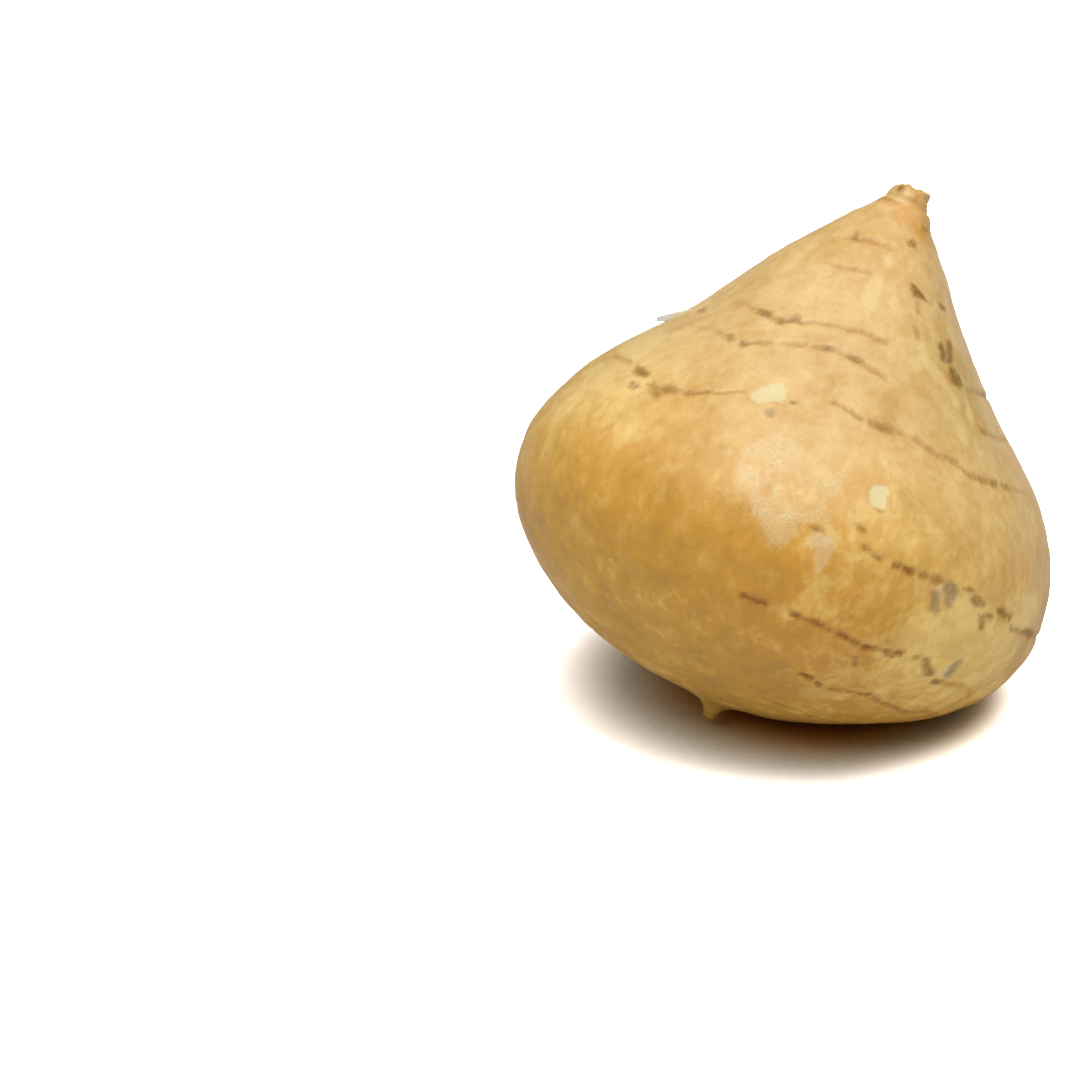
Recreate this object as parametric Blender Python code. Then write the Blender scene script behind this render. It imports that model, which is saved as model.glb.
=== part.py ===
# A jicama, lying as it rests on a table: one tuber, with the stem stub on its crown and the
# broken taproot at its root end grown together with it.
# Metres, +Z up. The growth axis leans right (+X) and back (+Y). The origin is on the table,
# under the middle of the tuber's bounding box.
import bpy
import numpy as np

# Sizes along the growth axis; heights count up from the root end to the cut end of the stub
GROWTH_LENGTH = 0.1206
WIDEST_RADIUS = 0.0612
WIDEST_HEIGHT = 0.0410

# Underside: a superellipse, 2 is round and more is squarer, from the taproot out
BASE_FULLNESS = 2.03
TAPROOT_FOOT_RADIUS = 0.0075

# Broken taproot, (height, radius) from its tip up
TAPROOT_TIP = -0.0042
TAPROOT = [(-0.0040, 0.0012), (-0.0028, 0.0016), (-0.0014, 0.0024), (-0.0004, 0.0042)]

# Shoulder, flank, pinched neck and stem stub, (height, radius) above the widest ring
FLANK = [
    (0.0530, 0.0577),
    (0.0660, 0.0484),
    (0.0840, 0.0330),
    (0.1040, 0.0164),
    (0.1135, 0.0078),
    (0.1166, 0.0047),
    (0.1184, 0.0051),
    (0.1199, 0.0046),
]
CUT_END_RADIUS = 0.0022
CUT_END_DISH = 0.0003
CUT_END_TORN = 0.0005
CUT_END_HIGH_SIDE = 75.0
STUB_SHIFT = 0.0012

# Out-of-round cross-section: lobes round the axis, share of the radius, angle of the first lobe.
# Angles go round the growth axis: 0 faces the front (-Y) and 90 the right (+X).
LOBES = [(2, 0.010, 20.0), (3, 0.010, 75.0), (4, 0.010, 30.0)]
LOBE_FREE_RADIUS = 0.015

# Broad swells (+) and hollows (-) of the flesh: angle, height, reach, depth
SWELLS = [
    (86, 0.061, 0.024, 0.0018),
    (78, 0.094, 0.020, -0.0009),
    (34, 0.088, 0.015, 0.0009),
    (88, 0.022, 0.020, 0.0014),
    (-84, 0.053, 0.020, -0.0023),
    (-80, 0.085, 0.020, -0.0016),
    (-60, 0.030, 0.022, 0.0014),
    (-150, 0.030, 0.024, 0.0014),
    (-135, 0.078, 0.018, -0.0012),
    (180, 0.052, 0.026, 0.0015),
    (150, 0.088, 0.016, 0.0010),
    (138, 0.0035, 0.020, 0.0016),
    (138, 0.018, 0.025, -0.0036),
    (-76, 0.059, 0.013, 0.0014),
    (-81, 0.086, 0.013, 0.0008),
    (-80, 0.097, 0.013, 0.0010),
    (86, 0.103, 0.014, -0.0004),
    (86, 0.085, 0.016, -0.0004),
    (87, 0.043, 0.015, -0.0009),
    (84, 0.018, 0.013, -0.0004),
    (84, 0.005, 0.013, -0.0011),
]

# Growth rings: height, wander as (angle, rise or fall), and the arcs (from, to) where it is creased
RINGS = [
    (0.0055, [(-120, 0.0005), (0, -0.0004), (120, 0.0004)], [(-170, -60), (20, 110)]),
    (0.0125, [(-150, 0.0006), (-40, -0.0008), (10, 0.0010), (22, 0.0012), (29, 0.0), (36, 0.0009),
              (41, 0.0018), (47, 0.0012), (60, 0.0009), (68, 0.0024), (90, 0.0020), (125, 0.0008)],
     [(-160, -85), (20, 77), (120, 175)]),
    (0.0245, [(-140, -0.0010), (-60, 0.0012), (3, 0.0003), (14, 0.0003), (22, -0.0002), (28, -0.0007),
              (34, -0.0001), (38, 0.0006), (42, 0.0007), (50, -0.0026), (55, -0.0024), (60, -0.0015),
              (65, -0.0018), (74, -0.0036), (95, -0.0024)],
     [(-175, -70), (-1, 42), (51, 74), (115, 150)]),
    (0.0415, [(-130, 0.0015), (-60, 0.0), (8, 0.0020), (18, 0.0017), (22.5, 0.0002), (30, 0.0002),
              (37, 0.0002), (45, 0.0010), (50, -0.0010), (54, -0.0010), (59.5, -0.0016), (62, -0.0038),
              (66, -0.0035), (74, -0.0032), (90, -0.0034), (150, 0.0010)],
     [(-160, -100), (17, 96), (125, 170)]),
    (0.0535, [(-140, 0.0), (-70, 0.0016), (0, 0.0008), (120, -0.0012)], [(-150, -82), (105, 160)]),
    (0.0645, [(-150, 0.0012), (-75, -0.0010), (-64, -0.0015), (-54, -0.0019), (-44, -0.0033),
              (-38, -0.0052), (-31, -0.0042), (-25, -0.0022), (-18, 0.0001), (-4, 0.0040), (4, 0.0048),
              (13.5, 0.0034), (23, 0.0037), (36, 0.0023), (40, 0.0018), (44, 0.0004), (51, 0.0004),
              (58, 0.0007), (66, 0.0008), (120, 0.0014)],
     [(-110, -18), (3, 24), (35, 72), (130, 200)]),
    (0.0770, [(-140, -0.0012), (-52, -0.0016), (-41, -0.0017), (-30, -0.0027), (-23, -0.0008),
              (-16, 0.0008), (-9, 0.0022), (-2, 0.0029), (6, 0.0025), (12, 0.0017), (18, 0.0007),
              (40, -0.0012), (56, -0.0021), (66, -0.0021), (80, -0.0015), (120, 0.0010)],
     [(-56, 17), (54, 80), (96, 120), (170, 215)]),
    (0.0845, [(-150, 0.0), (-60, -0.0008), (-46, -0.0010), (-36, -0.0019), (-25, -0.0025),
              (-19, -0.0014), (-10, 0.0001), (-4, 0.0008), (6, 0.0011), (15, 0.0005), (40, -0.0012),
              (52, -0.0025), (62, -0.0015), (76, -0.0011), (95, -0.0008)],
     [(-125, -75), (-50, 16), (52, 95), (150, 176)]),
    (0.0985, [(-130, 0.0004), (-30, -0.0006), (-20, -0.0006), (-10, 0.0), (0, 0.0006), (25, 0.0006),
              (33, -0.0001), (42, -0.0010), (120, 0.0006)],
     [(-30, 0), (24, 56), (125, 190)]),
    (0.1055, [(-100, 0.0), (-34, -0.0012), (-24, -0.0004), (-10, 0.0002), (12, 0.0004), (120, 0.0)],
     [(-33, 13), (100, 160), (-150, -110)]),
]
CREASE_DEPTH = 0.0005
CREASE_WIDTH = 0.0008
CREASE_FADE = 6.0

# How it lies: the lean of the growth axis, and the flattened spot that it rests on
LEAN_RIGHT = 20.5
LEAN_BACK = 23.0
FLAT_SPOT_DEPTH = 0.0046
FLAT_SPOT_ROUNDING = 0.0020

# Mesh: columns round the axis, rows beside each ring line, and the spacing of the rows between
COLUMNS = 84
RING_ROWS = (-0.0013, 0.0, 0.0013)
ROW_SPACING = 0.0052
TAPROOT_ROW_RADII = (0.0017, 0.0040, 0.0075)
NECK_ROW_HEIGHTS = (0.1105, 0.1135, 0.1152, 0.1166, 0.1177, 0.1188, 0.1199)

SKIN_COLOUR = (0.765, 0.515, 0.205, 1.0)
SKIN_ROUGHNESS = 0.48


def clear_scene():
    for thing in list(bpy.data.objects):
        bpy.data.objects.remove(thing, do_unlink=True)


def smooth_through(points, guide=None, steps=16):
    # A Catmull-Rom curve through the points; the guide before the first point sets its direction
    p = np.array(points, float)
    before = 2 * p[0] - p[1] if guide is None else np.array(guide)
    p = np.vstack([before, p, 2 * p[-1] - p[-2]])
    t = np.linspace(0, 1, steps, endpoint=False)[:, None]
    pieces = []
    for a, b, c, d in zip(p, p[1:], p[2:], p[3:]):
        pieces.append(0.5 * (2 * b + (c - a) * t + (2 * a - 5 * b + 4 * c - d) * t**2
                             + (3 * b - a - 3 * c + d) * t**3))
    return np.vstack(pieces + [p[-2][None]])


def skin_outline():
    # (height, radius) from the taproot's tip over the widest ring to the middle of the cut end
    start = np.arcsin((TAPROOT_FOOT_RADIUS / WIDEST_RADIUS) ** (BASE_FULLNESS / 2))
    a = np.linspace(start, np.pi / 2, 60)[:-1]
    base = np.stack([WIDEST_HEIGHT * (1 - np.cos(a) ** (2 / BASE_FULLNESS)),
                     WIDEST_RADIUS * np.sin(a) ** (2 / BASE_FULLNESS)], axis=1)
    taproot = smooth_through(TAPROOT + [tuple(base[0])])[:-1]
    shoulder_height, shoulder_radius = FLANK[0]
    mirrored = (2 * WIDEST_HEIGHT - shoulder_height, shoulder_radius)
    flank = smooth_through([(WIDEST_HEIGHT, WIDEST_RADIUS)] + FLANK, guide=mirrored)
    tip = [(TAPROOT_TIP, 0.0)]
    cut_end = [(GROWTH_LENGTH, CUT_END_RADIUS), (GROWTH_LENGTH - CUT_END_DISH, 0.0)]
    return np.vstack([tip, taproot, base, flank, cut_end])


OUTLINE = skin_outline()
ARC = np.concatenate([[0.0], np.cumsum(np.hypot(*np.diff(OUTLINE, axis=0).T))])
ROOT_END = int(np.argmax(OUTLINE[:, 0] > 0))
STUB_END = len(OUTLINE) - 2


def arc_at_height(height):
    body = slice(ROOT_END, STUB_END)
    return np.interp(height, OUTLINE[body, 0], ARC[body])


def arc_at_taproot_radius(radius):
    widest = int(np.argmax(OUTLINE[:, 1]))
    return np.interp(radius, OUTLINE[1:widest, 1], ARC[1:widest])


def turn_from(angle, centre):
    # Signed angle from the centre, between -180 and 180 degrees
    return (angle - centre + 180) % 360 - 180


def wander(points, angle):
    # Rise of a ring at each angle: eased steps between the hand-set points, closed round the axis
    at = np.array([p[0] for p in points], float)
    rise = np.array([p[1] for p in points], float)
    at = np.concatenate([at - 360, at, at + 360])
    rise = np.tile(rise, 3)
    i = np.searchsorted(at, angle, side="right") - 1
    t = (angle - at[i]) / (at[i + 1] - at[i])
    return rise[i] + (rise[i + 1] - rise[i]) * t * t * (3 - 2 * t)


def ring_arc(ring, angle):
    return arc_at_height(ring[0] + wander(ring[1], angle))


def creased(ring, angle):
    # 1 inside the ring's creased arcs, fading to 0 at their ends
    share = np.zeros_like(angle)
    for first, last in ring[2]:
        inside = (last - first) / 2 - np.abs(turn_from(angle, (first + last) / 2))
        share = np.maximum(share, np.clip(inside / CREASE_FADE, 0, 1))
    return share


def row_arcs(angle):
    # Where each row of the mesh lies along the outline, for every column: rows follow the rings
    rows = [np.full_like(angle, ARC[1])]
    rows += [np.full_like(angle, arc_at_taproot_radius(r)) for r in TAPROOT_ROW_RADII]
    for ring in RINGS:
        line = ring_arc(ring, angle)
        below = rows[-1]
        gap = line + RING_ROWS[0] - below
        count = max(1, round(float(gap.mean()) / ROW_SPACING))
        rows += [below + gap * k / count for k in range(1, count)]
        rows += [line + offset for offset in RING_ROWS]
    rows += [np.full_like(angle, arc_at_height(h)) for h in NECK_ROW_HEIGHTS]
    rows.append(np.full_like(angle, ARC[STUB_END]))
    return np.array(rows)


def outward(arc):
    # Unit direction out of the skin, as (along the axis, away from the axis)
    climb = np.interp(arc, ARC, np.gradient(OUTLINE[:, 0], ARC))
    widen = np.interp(arc, ARC, np.gradient(OUTLINE[:, 1], ARC))
    size = np.hypot(climb, widen)
    return -widen / size, climb / size


def swell(angle, height, radius):
    # Sum of the swells, each a bell of the distance to its centre on the skin
    a = np.radians(angle)
    body = np.clip(radius / 0.012, 0, 1) * np.clip((0.119 - height) / 0.02, 0, 1)
    push = np.zeros_like(height)
    for centre, centre_height, reach, depth in SWELLS:
        c = np.radians(centre)
        r = np.interp(centre_height, OUTLINE[ROOT_END:STUB_END, 0], OUTLINE[ROOT_END:STUB_END, 1])
        away = (radius * np.sin(a) - r * np.sin(c)) ** 2 + (radius * np.cos(a) - r * np.cos(c)) ** 2
        away += (height - centre_height) ** 2
        push += depth * np.exp(-away / reach**2) * body
    return push


def crease(angle, arc):
    push = np.zeros_like(arc)
    for ring in RINGS:
        away = arc - ring_arc(ring, angle)
        push -= CREASE_DEPTH * creased(ring, angle) * np.exp(-(away / CREASE_WIDTH) ** 2)
    return push


def torn_end(angle, height, radius):
    # The stub is torn, not cut square: its rim stands higher on one side
    a = np.radians(angle - CUT_END_HIGH_SIDE)
    rim = np.clip((height - 0.1190) / 0.0012, 0, 1) * np.clip(radius / 0.004, 0, 1)
    return CUT_END_TORN * rim * (np.cos(a) + 0.5 * np.cos(3 * a))


def tuber_points(arc, angle):
    # The skin in the growth frame: axis up +Z, front -Y
    height = np.interp(arc, ARC, OUTLINE[:, 0])
    radius = np.interp(arc, ARC, OUTLINE[:, 1])
    lobes = sum(share * np.cos(n * np.radians(angle - first)) for n, share, first in LOBES)
    along, away = outward(arc)
    push = swell(angle, height, radius) + crease(angle, arc)
    r = radius * (1 + lobes * np.clip(radius / LOBE_FREE_RADIUS, 0, 1)) + push * away
    z = height + push * along + torn_end(angle, height, radius)
    a = np.radians(angle)
    shift = STUB_SHIFT * np.clip((height - 0.112) / 0.008, 0, 1)
    return np.stack([r * np.sin(a) + shift, -r * np.cos(a), z], axis=-1)


def lean(points):
    # Leans the growth axis right about Y, then back about X
    a, b = np.radians([LEAN_RIGHT, LEAN_BACK])
    right = np.array([[np.cos(a), 0, np.sin(a)], [0, 1, 0], [-np.sin(a), 0, np.cos(a)]])
    back = np.array([[1, 0, 0], [0, np.cos(b), np.sin(b)], [0, -np.sin(b), np.cos(b)]])
    return points @ (back @ right).T


def settle(points):
    # Presses the lowest part flat on the table, with a rounded edge, and centres the tuber over 0, 0
    w = FLAT_SPOT_ROUNDING
    z = points[:, 2] - points[:, 2].min() - FLAT_SPOT_DEPTH
    z = np.where(z <= -w, 0.0, np.where(z >= w, z, (z + w) ** 2 / (4 * w)))
    middle = (points.min(axis=0) + points.max(axis=0)) / 2
    return np.column_stack([points[:, 0] - middle[0], points[:, 1] - middle[1], z])


def tuber_mesh():
    angle = np.linspace(-180, 180, COLUMNS, endpoint=False)
    arc = row_arcs(angle)
    skin = tuber_points(arc, np.broadcast_to(angle, arc.shape)).reshape(-1, 3)
    ends = tuber_points(np.array([ARC[0], ARC[-1]]), np.zeros(2))
    points = settle(lean(np.vstack([skin, ends])))
    rows = len(arc)
    tip, top = rows * COLUMNS, rows * COLUMNS + 1
    faces = []
    for j in range(COLUMNS):
        k = (j + 1) % COLUMNS
        faces.append((tip, k, j))
        for i in range(rows - 1):
            a, b = i * COLUMNS, (i + 1) * COLUMNS
            faces.append((a + j, a + k, b + k, b + j))
        last = (rows - 1) * COLUMNS
        faces.append((last + j, last + k, top))
    mesh = bpy.data.meshes.new("tuber")
    mesh.from_pydata(points.tolist(), [], faces)
    mesh.update()
    return mesh


def skin_material():
    material = bpy.data.materials.new("jicama_skin")
    material.use_nodes = True
    shader = material.node_tree.nodes["Principled BSDF"]
    shader.inputs["Base Color"].default_value = SKIN_COLOUR
    shader.inputs["Roughness"].default_value = SKIN_ROUGHNESS
    shader.inputs["Metallic"].default_value = 0.0
    return material


def build_tuber():
    mesh = tuber_mesh()
    mesh.materials.append(skin_material())
    mesh.shade_smooth()
    mesh.set_sharp_from_angle(angle=np.radians(50))
    tuber = bpy.data.objects.new("tuber", mesh)
    bpy.context.scene.collection.objects.link(tuber)
    return tuber


clear_scene()
build_tuber()
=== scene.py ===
import bpy
import numpy as np
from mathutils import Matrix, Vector


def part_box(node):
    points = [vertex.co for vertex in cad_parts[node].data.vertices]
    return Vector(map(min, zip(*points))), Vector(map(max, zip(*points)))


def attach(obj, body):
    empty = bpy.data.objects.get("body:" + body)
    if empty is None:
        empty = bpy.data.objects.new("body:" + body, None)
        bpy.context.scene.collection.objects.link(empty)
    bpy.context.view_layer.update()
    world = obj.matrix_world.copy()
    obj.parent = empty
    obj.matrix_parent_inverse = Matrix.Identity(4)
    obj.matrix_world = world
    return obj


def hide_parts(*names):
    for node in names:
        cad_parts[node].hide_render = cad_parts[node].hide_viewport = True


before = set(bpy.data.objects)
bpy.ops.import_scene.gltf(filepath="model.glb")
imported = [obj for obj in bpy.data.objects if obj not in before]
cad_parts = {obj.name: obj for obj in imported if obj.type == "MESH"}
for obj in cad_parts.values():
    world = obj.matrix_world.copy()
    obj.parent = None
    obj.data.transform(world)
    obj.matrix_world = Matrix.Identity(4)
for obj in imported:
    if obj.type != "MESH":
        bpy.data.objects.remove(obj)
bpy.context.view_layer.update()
print("frame loaded")

mm = 0.001

# What the tuber's shape is made of: metres and degrees. Heights run up the growth axis from the
# root end; angles go round it, 0 faces the camera's side (-Y) and 90 the right (+X).
tuberShape = {
    "length": 0.1206,
    "widestRadius": 0.0612,
    "widestHeight": 0.0410,
    "baseFullness": 2.03,  # 2 is a round underside, more is squarer
    "baseSteps": 60,
    "taprootFoot": 0.0075,
    "taprootTip": -0.0042,
    "taproot": [(-0.0040, 0.0012), (-0.0028, 0.0016), (-0.0014, 0.0024), (-0.0004, 0.0042)],
    "flank": [(0.0530, 0.0577), (0.0660, 0.0484), (0.0840, 0.0330), (0.1040, 0.0164),
              (0.1135, 0.0078), (0.1166, 0.0047), (0.1184, 0.0051), (0.1199, 0.0046)],
    "cutRadius": 0.0022,
    "cutDish": 0.0003,
    "cutTorn": 0.0005,
    "cutHighSide": 75.0,
    "stubShift": 0.0012,
    "lobes": [(2, 0.010, 20.0), (3, 0.010, 75.0), (4, 0.010, 30.0)],  # lobes round, share, first angle
    "swells": [  # angle, height, reach, depth
        (86, 0.061, 0.024, 0.0018), (78, 0.094, 0.020, -0.0009), (34, 0.088, 0.015, 0.0009),
        (88, 0.022, 0.020, 0.0014), (-84, 0.053, 0.020, -0.0023), (-80, 0.085, 0.020, -0.0016),
        (-60, 0.030, 0.022, 0.0014), (-150, 0.030, 0.024, 0.0014), (-135, 0.078, 0.018, -0.0012),
        (180, 0.052, 0.026, 0.0015), (150, 0.088, 0.016, 0.0010), (138, 0.0035, 0.020, 0.0016),
        (138, 0.018, 0.025, -0.0036), (-76, 0.059, 0.013, 0.0014), (-81, 0.086, 0.013, 0.0008),
        (-80, 0.097, 0.013, 0.0010), (86, 0.103, 0.014, -0.0004), (86, 0.085, 0.016, -0.0004),
        (87, 0.043, 0.015, -0.0009), (84, 0.018, 0.013, -0.0004), (84, 0.005, 0.013, -0.0011),
        (-69, 0.0635, 0.008, -0.0004)],
    "leanRight": 20.5,
    "leanBack": 23.0,
    "flatDepth": 0.0046,
    "flatRounding": 0.0020,
    "settleGrid": (240, 300),  # columns and rows of the plain grid that settles it
    "knobs": [  # small lumps: angle, height, reach, depth
        (82, 0.0555, 0.0017, 0.00045), (-118, 0.0660, 0.0024, 0.0004), (152, 0.0350, 0.0026, 0.0005),
        (-162, 0.0500, 0.0020, 0.0004), (104, 0.0800, 0.0018, 0.0004), (-100, 0.0320, 0.0022, -0.0004),
        (140, 0.0600, 0.0030, -0.0004), (-150, 0.0900, 0.0020, 0.0003)],
    "stubSides": (-90, 80, 90),  # the middle of its left side, and the middle and reach of its right
    "stubBulges": [  # side of the stub, depth, height, reach
        ("left", 0.00055, 0.1163, 0.0012), ("right", -0.0006, 0.1189, 0.0009),
        ("right", 0.0007, 0.1170, 0.0008), ("right", 0.0008, 0.1152, 0.0011)],
    "stubNarrow": 0.22,  # how much of its width the left of the stub loses at the top
    "stubLift": 0.0008,  # how much higher the left of the cut is
    "stubTorn": (0.00012, 0.35),  # depth of the torn lumps, and the share of the finer ones
    "crownCalm": 0.65,  # how much flatter the slow waves are on the crown
    "markHeights": {"peel": (-0.00014, 0.5), "scuff": (-0.00008, 1.0), "scab": (0.00007, 1.0),
                    "plate": (0.00007, 0.7), "stain": (-0.00004, 1.5)},  # push outward, and over how many mm
}

# The grid that the skin is laid on, and its growth-ring lines
skinGrid = {
    "columns": 408,
    "columnCrowding": (0.75, 12, 72),  # evenness, and the angle and half width of the side packed closer
    "rowSpacing": 0.00095,
    "taprootRows": 0.0006,
    "stubRows": 0.0004,
    "stubFrom": 0.1150,
    "ringRows": (-0.0016, -0.0010, -0.0005, 0.0, 0.0005, 0.0010, 0.0016),
    "lineReach": 0.0026,
    "lineFade": 0.0007,  # over this length a line ends; its crease takes creaseFade
    "creaseFade": 0.0045,
    "creaseDepth": 0.00045,
    "creaseWidth": 0.00075,
    "lipHeight": 0.00016,
    "lipPlace": (0.0013, 0.0007),  # how far above the crease, and its width
    "crownFade": 0.42,  # how much fainter the ring lines are on the crown
}

# Waves of the skin: height, wavelength, seed, and under 1 where they are drawn out along the axis
skinWaves = {
    "slow": (0.00015, 0.026, 3, 1), "medium": (0.00006, 0.0105, 5, 1), "short": (0.00003, 0.0045, 7, 1),
    "crown": (0.00005, 0.0026, 11, 0.18), "torn": (1, 0.0038, 13, 0.4), "splinter": (1, 0.0018, 17, 1),
}
waveSpread = (0.75, 1.35)  # the shortest and the longest wave of a ripple, as shares of its wavelength

# The growth rings, in mm and degrees: height, wander as pairs (angle, rise), and scars as fours
# (from, to, how dark, how thick)
growthRings = [
    (5.5, [-120, 0.5, 0, -0.4, 120, 0.4],
     [-170, -140, 0.7, 1.2, -132, -60, 0.8, 1.1, 20, 64, 0.4, 1.2, 74, 110, 0.6, 1.2]),
    (12.5, [-150, 0.6, -40, -0.8, 10, 1, 22, 1.2, 29, 0, 36, 0.9, 41, 1.8, 47, 1.2, 60, 0.9, 68, 2.4, 90, 2,
         125, 0.8],
     [-160, -118, 0.8, 1.2, -110, -85, 0.7, 1, 20.2, 24.3, 1, 1.9, 25.6, 28, 1, 1.7, 29.8, 34, 0.6, 1.4,
      34.6, 37, 0.6, 1.7, 38, 42, 0.8, 1.8, 42.4, 46.6, 0.7, 1.7, 47, 61, 0.65, 2, 62.5, 69, 0.6, 2,
      70, 77, 0.4, 2, 120, 138, 0.7, 1.1, 141, 175, 0.6, 1.4]),
    (24.5, [-140, -1, -60, 1.2, 3, 0.3, 14, 0.3, 22, -0.2, 28, -0.7, 34, -0.1, 38, 0.6, 42, 0.7, 50, -2.6,
         55, -2.4, 60, -1.5, 65, -1.8, 74, -3.6, 95, -2.4],
     [-175, -140, 0.8, 1.2, -134, -96, 0.6, 1, -90, -70, 0.8, 1.4, -1, 5, 0.8, 1.2, 10, 12.6, 1, 1.4,
      12.6, 14.6, 0.5, 0.9, 14.6, 18, 0.9, 1.4, 18.8, 20.8, 0.6, 1.1, 20.8, 24.4, 0.9, 1.5,
      24.6, 27, 0.9, 1.4, 27.6, 31.2, 0.9, 1.5, 31.2, 34.8, 0.7, 1.4, 34.9, 37.6, 1, 1.9,
      40, 41.8, 0.6, 1.5, 51, 62, 0.5, 1.6, 62, 74, 0.4, 1.3, 115, 128, 0.8, 1.3, 131, 150, 0.8, 1]),
    (41.5, [-130, 1.5, -60, 0, 8, 2, 18, 1.7, 22.5, 0.2, 30, 0.2, 37, 0.2, 45, 1, 50, -1, 54, -1,
         59.5, -1.6, 62, -3.8, 66, -3.5, 74, -3.2, 90, -3.4, 150, 1],
     [-160, -128, 0.8, 1.4, -122, -100, 0.7, 1, 17.6, 19.6, 0.75, 1.1, 19.6, 22.6, 0.75, 1.1,
      25, 27, 0.8, 1.3, 27.3, 30, 1, 1.6, 31.2, 33.8, 0.7, 1.2, 33.8, 37.2, 0.7, 1.7, 53.8, 60, 0.8, 1.4,
      61, 66, 0.6, 1.1, 66, 76, 0.8, 1.5, 76, 96, 0.7, 1.2, 125, 144, 0.8, 1.3, 148, 170, 0.7, 1.1]),
    (53.5, [-140, 0, -70, 1.6, 0, 0.8, 120, -1.2],
     [-150, -126, 0.8, 1.2, -118, -82, 0.7, 1.3, 105, 160, 0.7, 1.2]),
    (64.5, [-150, 1.2, -75, -1, -64, -1.5, -54, -1.9, -44, -3.3, -38, -5.2, -31, -4.2, -25, -2.2, -18, 0.1,
         -4, 4, 4, 4.8, 13.5, 3.4, 23, 3.7, 36, 2.3, 40, 1.8, 44, 0.4, 51, 0.4, 58, 0.7, 66, 0.8, 120, 1.4],
     [-110, -70, 0.6, 1, -64, -52, 0.5, 1.4, -50, -43, 0.6, 1.2, -40.5, -35, 0.6, 1.2,
      -31.2, -25.2, 0.7, 1.3, -25, -18, 0.5, 0.9, 3, 8, 0.7, 1.1, 8, 12.2, 0.8, 1.4, 13.6, 20.5, 0.9, 1.8,
      20.5, 25, 0.6, 1.2, 25, 35.5, 0.55, 1.7, 35.5, 41, 0.7, 1.9, 41, 47, 0.7, 1.4, 47, 51.5, 0.8, 1.6,
      51.5, 56, 0.9, 1.5, 57, 61, 0.7, 1.5, 61, 72, 0.4, 1, 130, 162, 0.8, 1.2, 168, 200, 0.7, 1.4]),
    (77, [-140, -1.2, -52, -1.6, -41, -1.7, -30, -2.7, -23, -0.8, -16, 0.8, -9, 2.2, -2, 2.9, 6, 2.5,
         12, 1.7, 18, 0.7, 40, -1.2, 56, -2.1, 66, -2.1, 80, -1.5, 120, 1],
     [-56, -45, 0.4, 1, -42, -36, 0.6, 1.2, -30, -21, 0.95, 1.5, -18.8, -10.8, 0.7, 1.4,
      -9.3, -3.5, 0.8, 1.4, -3.5, 2, 0.75, 1.6, 2, 9, 0.9, 1.5, 8.5, 17, 0.8, 1.4, 54.5, 59, 0.8, 1.4,
      59, 66, 0.6, 1.1, 66, 80, 0.5, 1.2, 96, 120, 0.6, 1, 170, 192, 0.9, 1.3, 194, 215, 0.7, 1]),
    (84.5, [-150, 0, -60, -0.8, -46, -1, -36, -1.9, -25, -2.5, -19, -1.4, -10, 0.1, -4, 0.8, 6, 1.1,
         15, 0.5, 40, -1.2, 52, -2.5, 62, -1.5, 76, -1.1, 95, -0.8],
     [-125, -75, 0.7, 1.2, -50, -43, 0.35, 1.4, -43, -36, 0.7, 1.3, -37, -20, 0.95, 1.5, -20, -13, 0.9, 1.4,
      -13, -7, 0.8, 1.3, -7, -1, 0.6, 1.2, -1.5, 3.5, 0.8, 1.4, 3.5, 10, 0.8, 1.4, 10, 15.8, 0.9, 1.5,
      52, 62, 0.6, 1.5, 62, 95, 0.8, 1.6, 150, 176, 0.6, 1.1]),
    (98.5, [-130, 0.4, -30, -0.6, -20, -0.6, -10, 0, 0, 0.6, 25, 0.6, 33, -0.1, 42, -1, 120, 0.6],
     [-30, -22, 0.4, 1, -22, -9, 0.7, 1.2, -9, 0, 0.45, 1.2, 30, 42, 0.5, 1, 125, 190, 0.8, 1.1]),
    (105.5, [-100, 0, -34, -1.2, -24, -0.4, -10, 0.2, 12, 0.4, 120, 0],
     [-33, -20, 0.6, 1.1, -20, -3, 0.85, 1.4, -3, 13, 0.6, 1.2, 100, 160, 0.7, 1, -150, -110, 0.8, 1.2]),
]

# How the hidden stretches of a scar are broken into dashes: drawn from these ranges
scarDashes = {
    "shownSide": 70,  # within this many degrees of the front the scars stay as they are
    "longest": 13,
    "length": (2.5, 9.0),
    "strength": (0.45, 1.1),
    "width": (0.8, 1.5),
    "gap": (0.3, 1.8),
    "seed": (7, 13, 5000),  # times the scar's start, times its end, and added
}

# Where an effect begins and over what length it grows to full, in metres; a minus length fades it out upward
fades = {
    "swellAxis": (0, 0.012), "swellTop": (0.119, -0.02), "lobeAxis": (0, 0.015), "cutRim": (0.1190, 0.0012),
    "cutCentre": (0, 0.004), "stubShift": (0.112, 0.008), "waveFoot": (0, 0.004), "waveTop": (0.117, -0.006),
    "calm": (0.070, 0.025), "crownFoot": (0.088, 0.020), "crownTop": (0.1165, -0.002),
    "torn": (0.1168, 0.0012), "narrow": (0.1170, 0.0030), "lift": (0.1170, 0.0026),
    "crownLines": (0.060, 0.014),
}


def fade(name, value):
    # (value - begin) / length, held between 0 and 1
    begin, length = fades[name]
    return np.clip((value - begin) / length, 0, 1)


def eased(t):
    # 3t2 - 2t3 between 0 and 1
    t = np.clip(t, 0, 1)
    return t * t * (3 - 2 * t)


def bell(value, reach, power=2):
    # e to the minus (value / reach) to the power
    return np.exp(-(value / reach) ** power)


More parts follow.
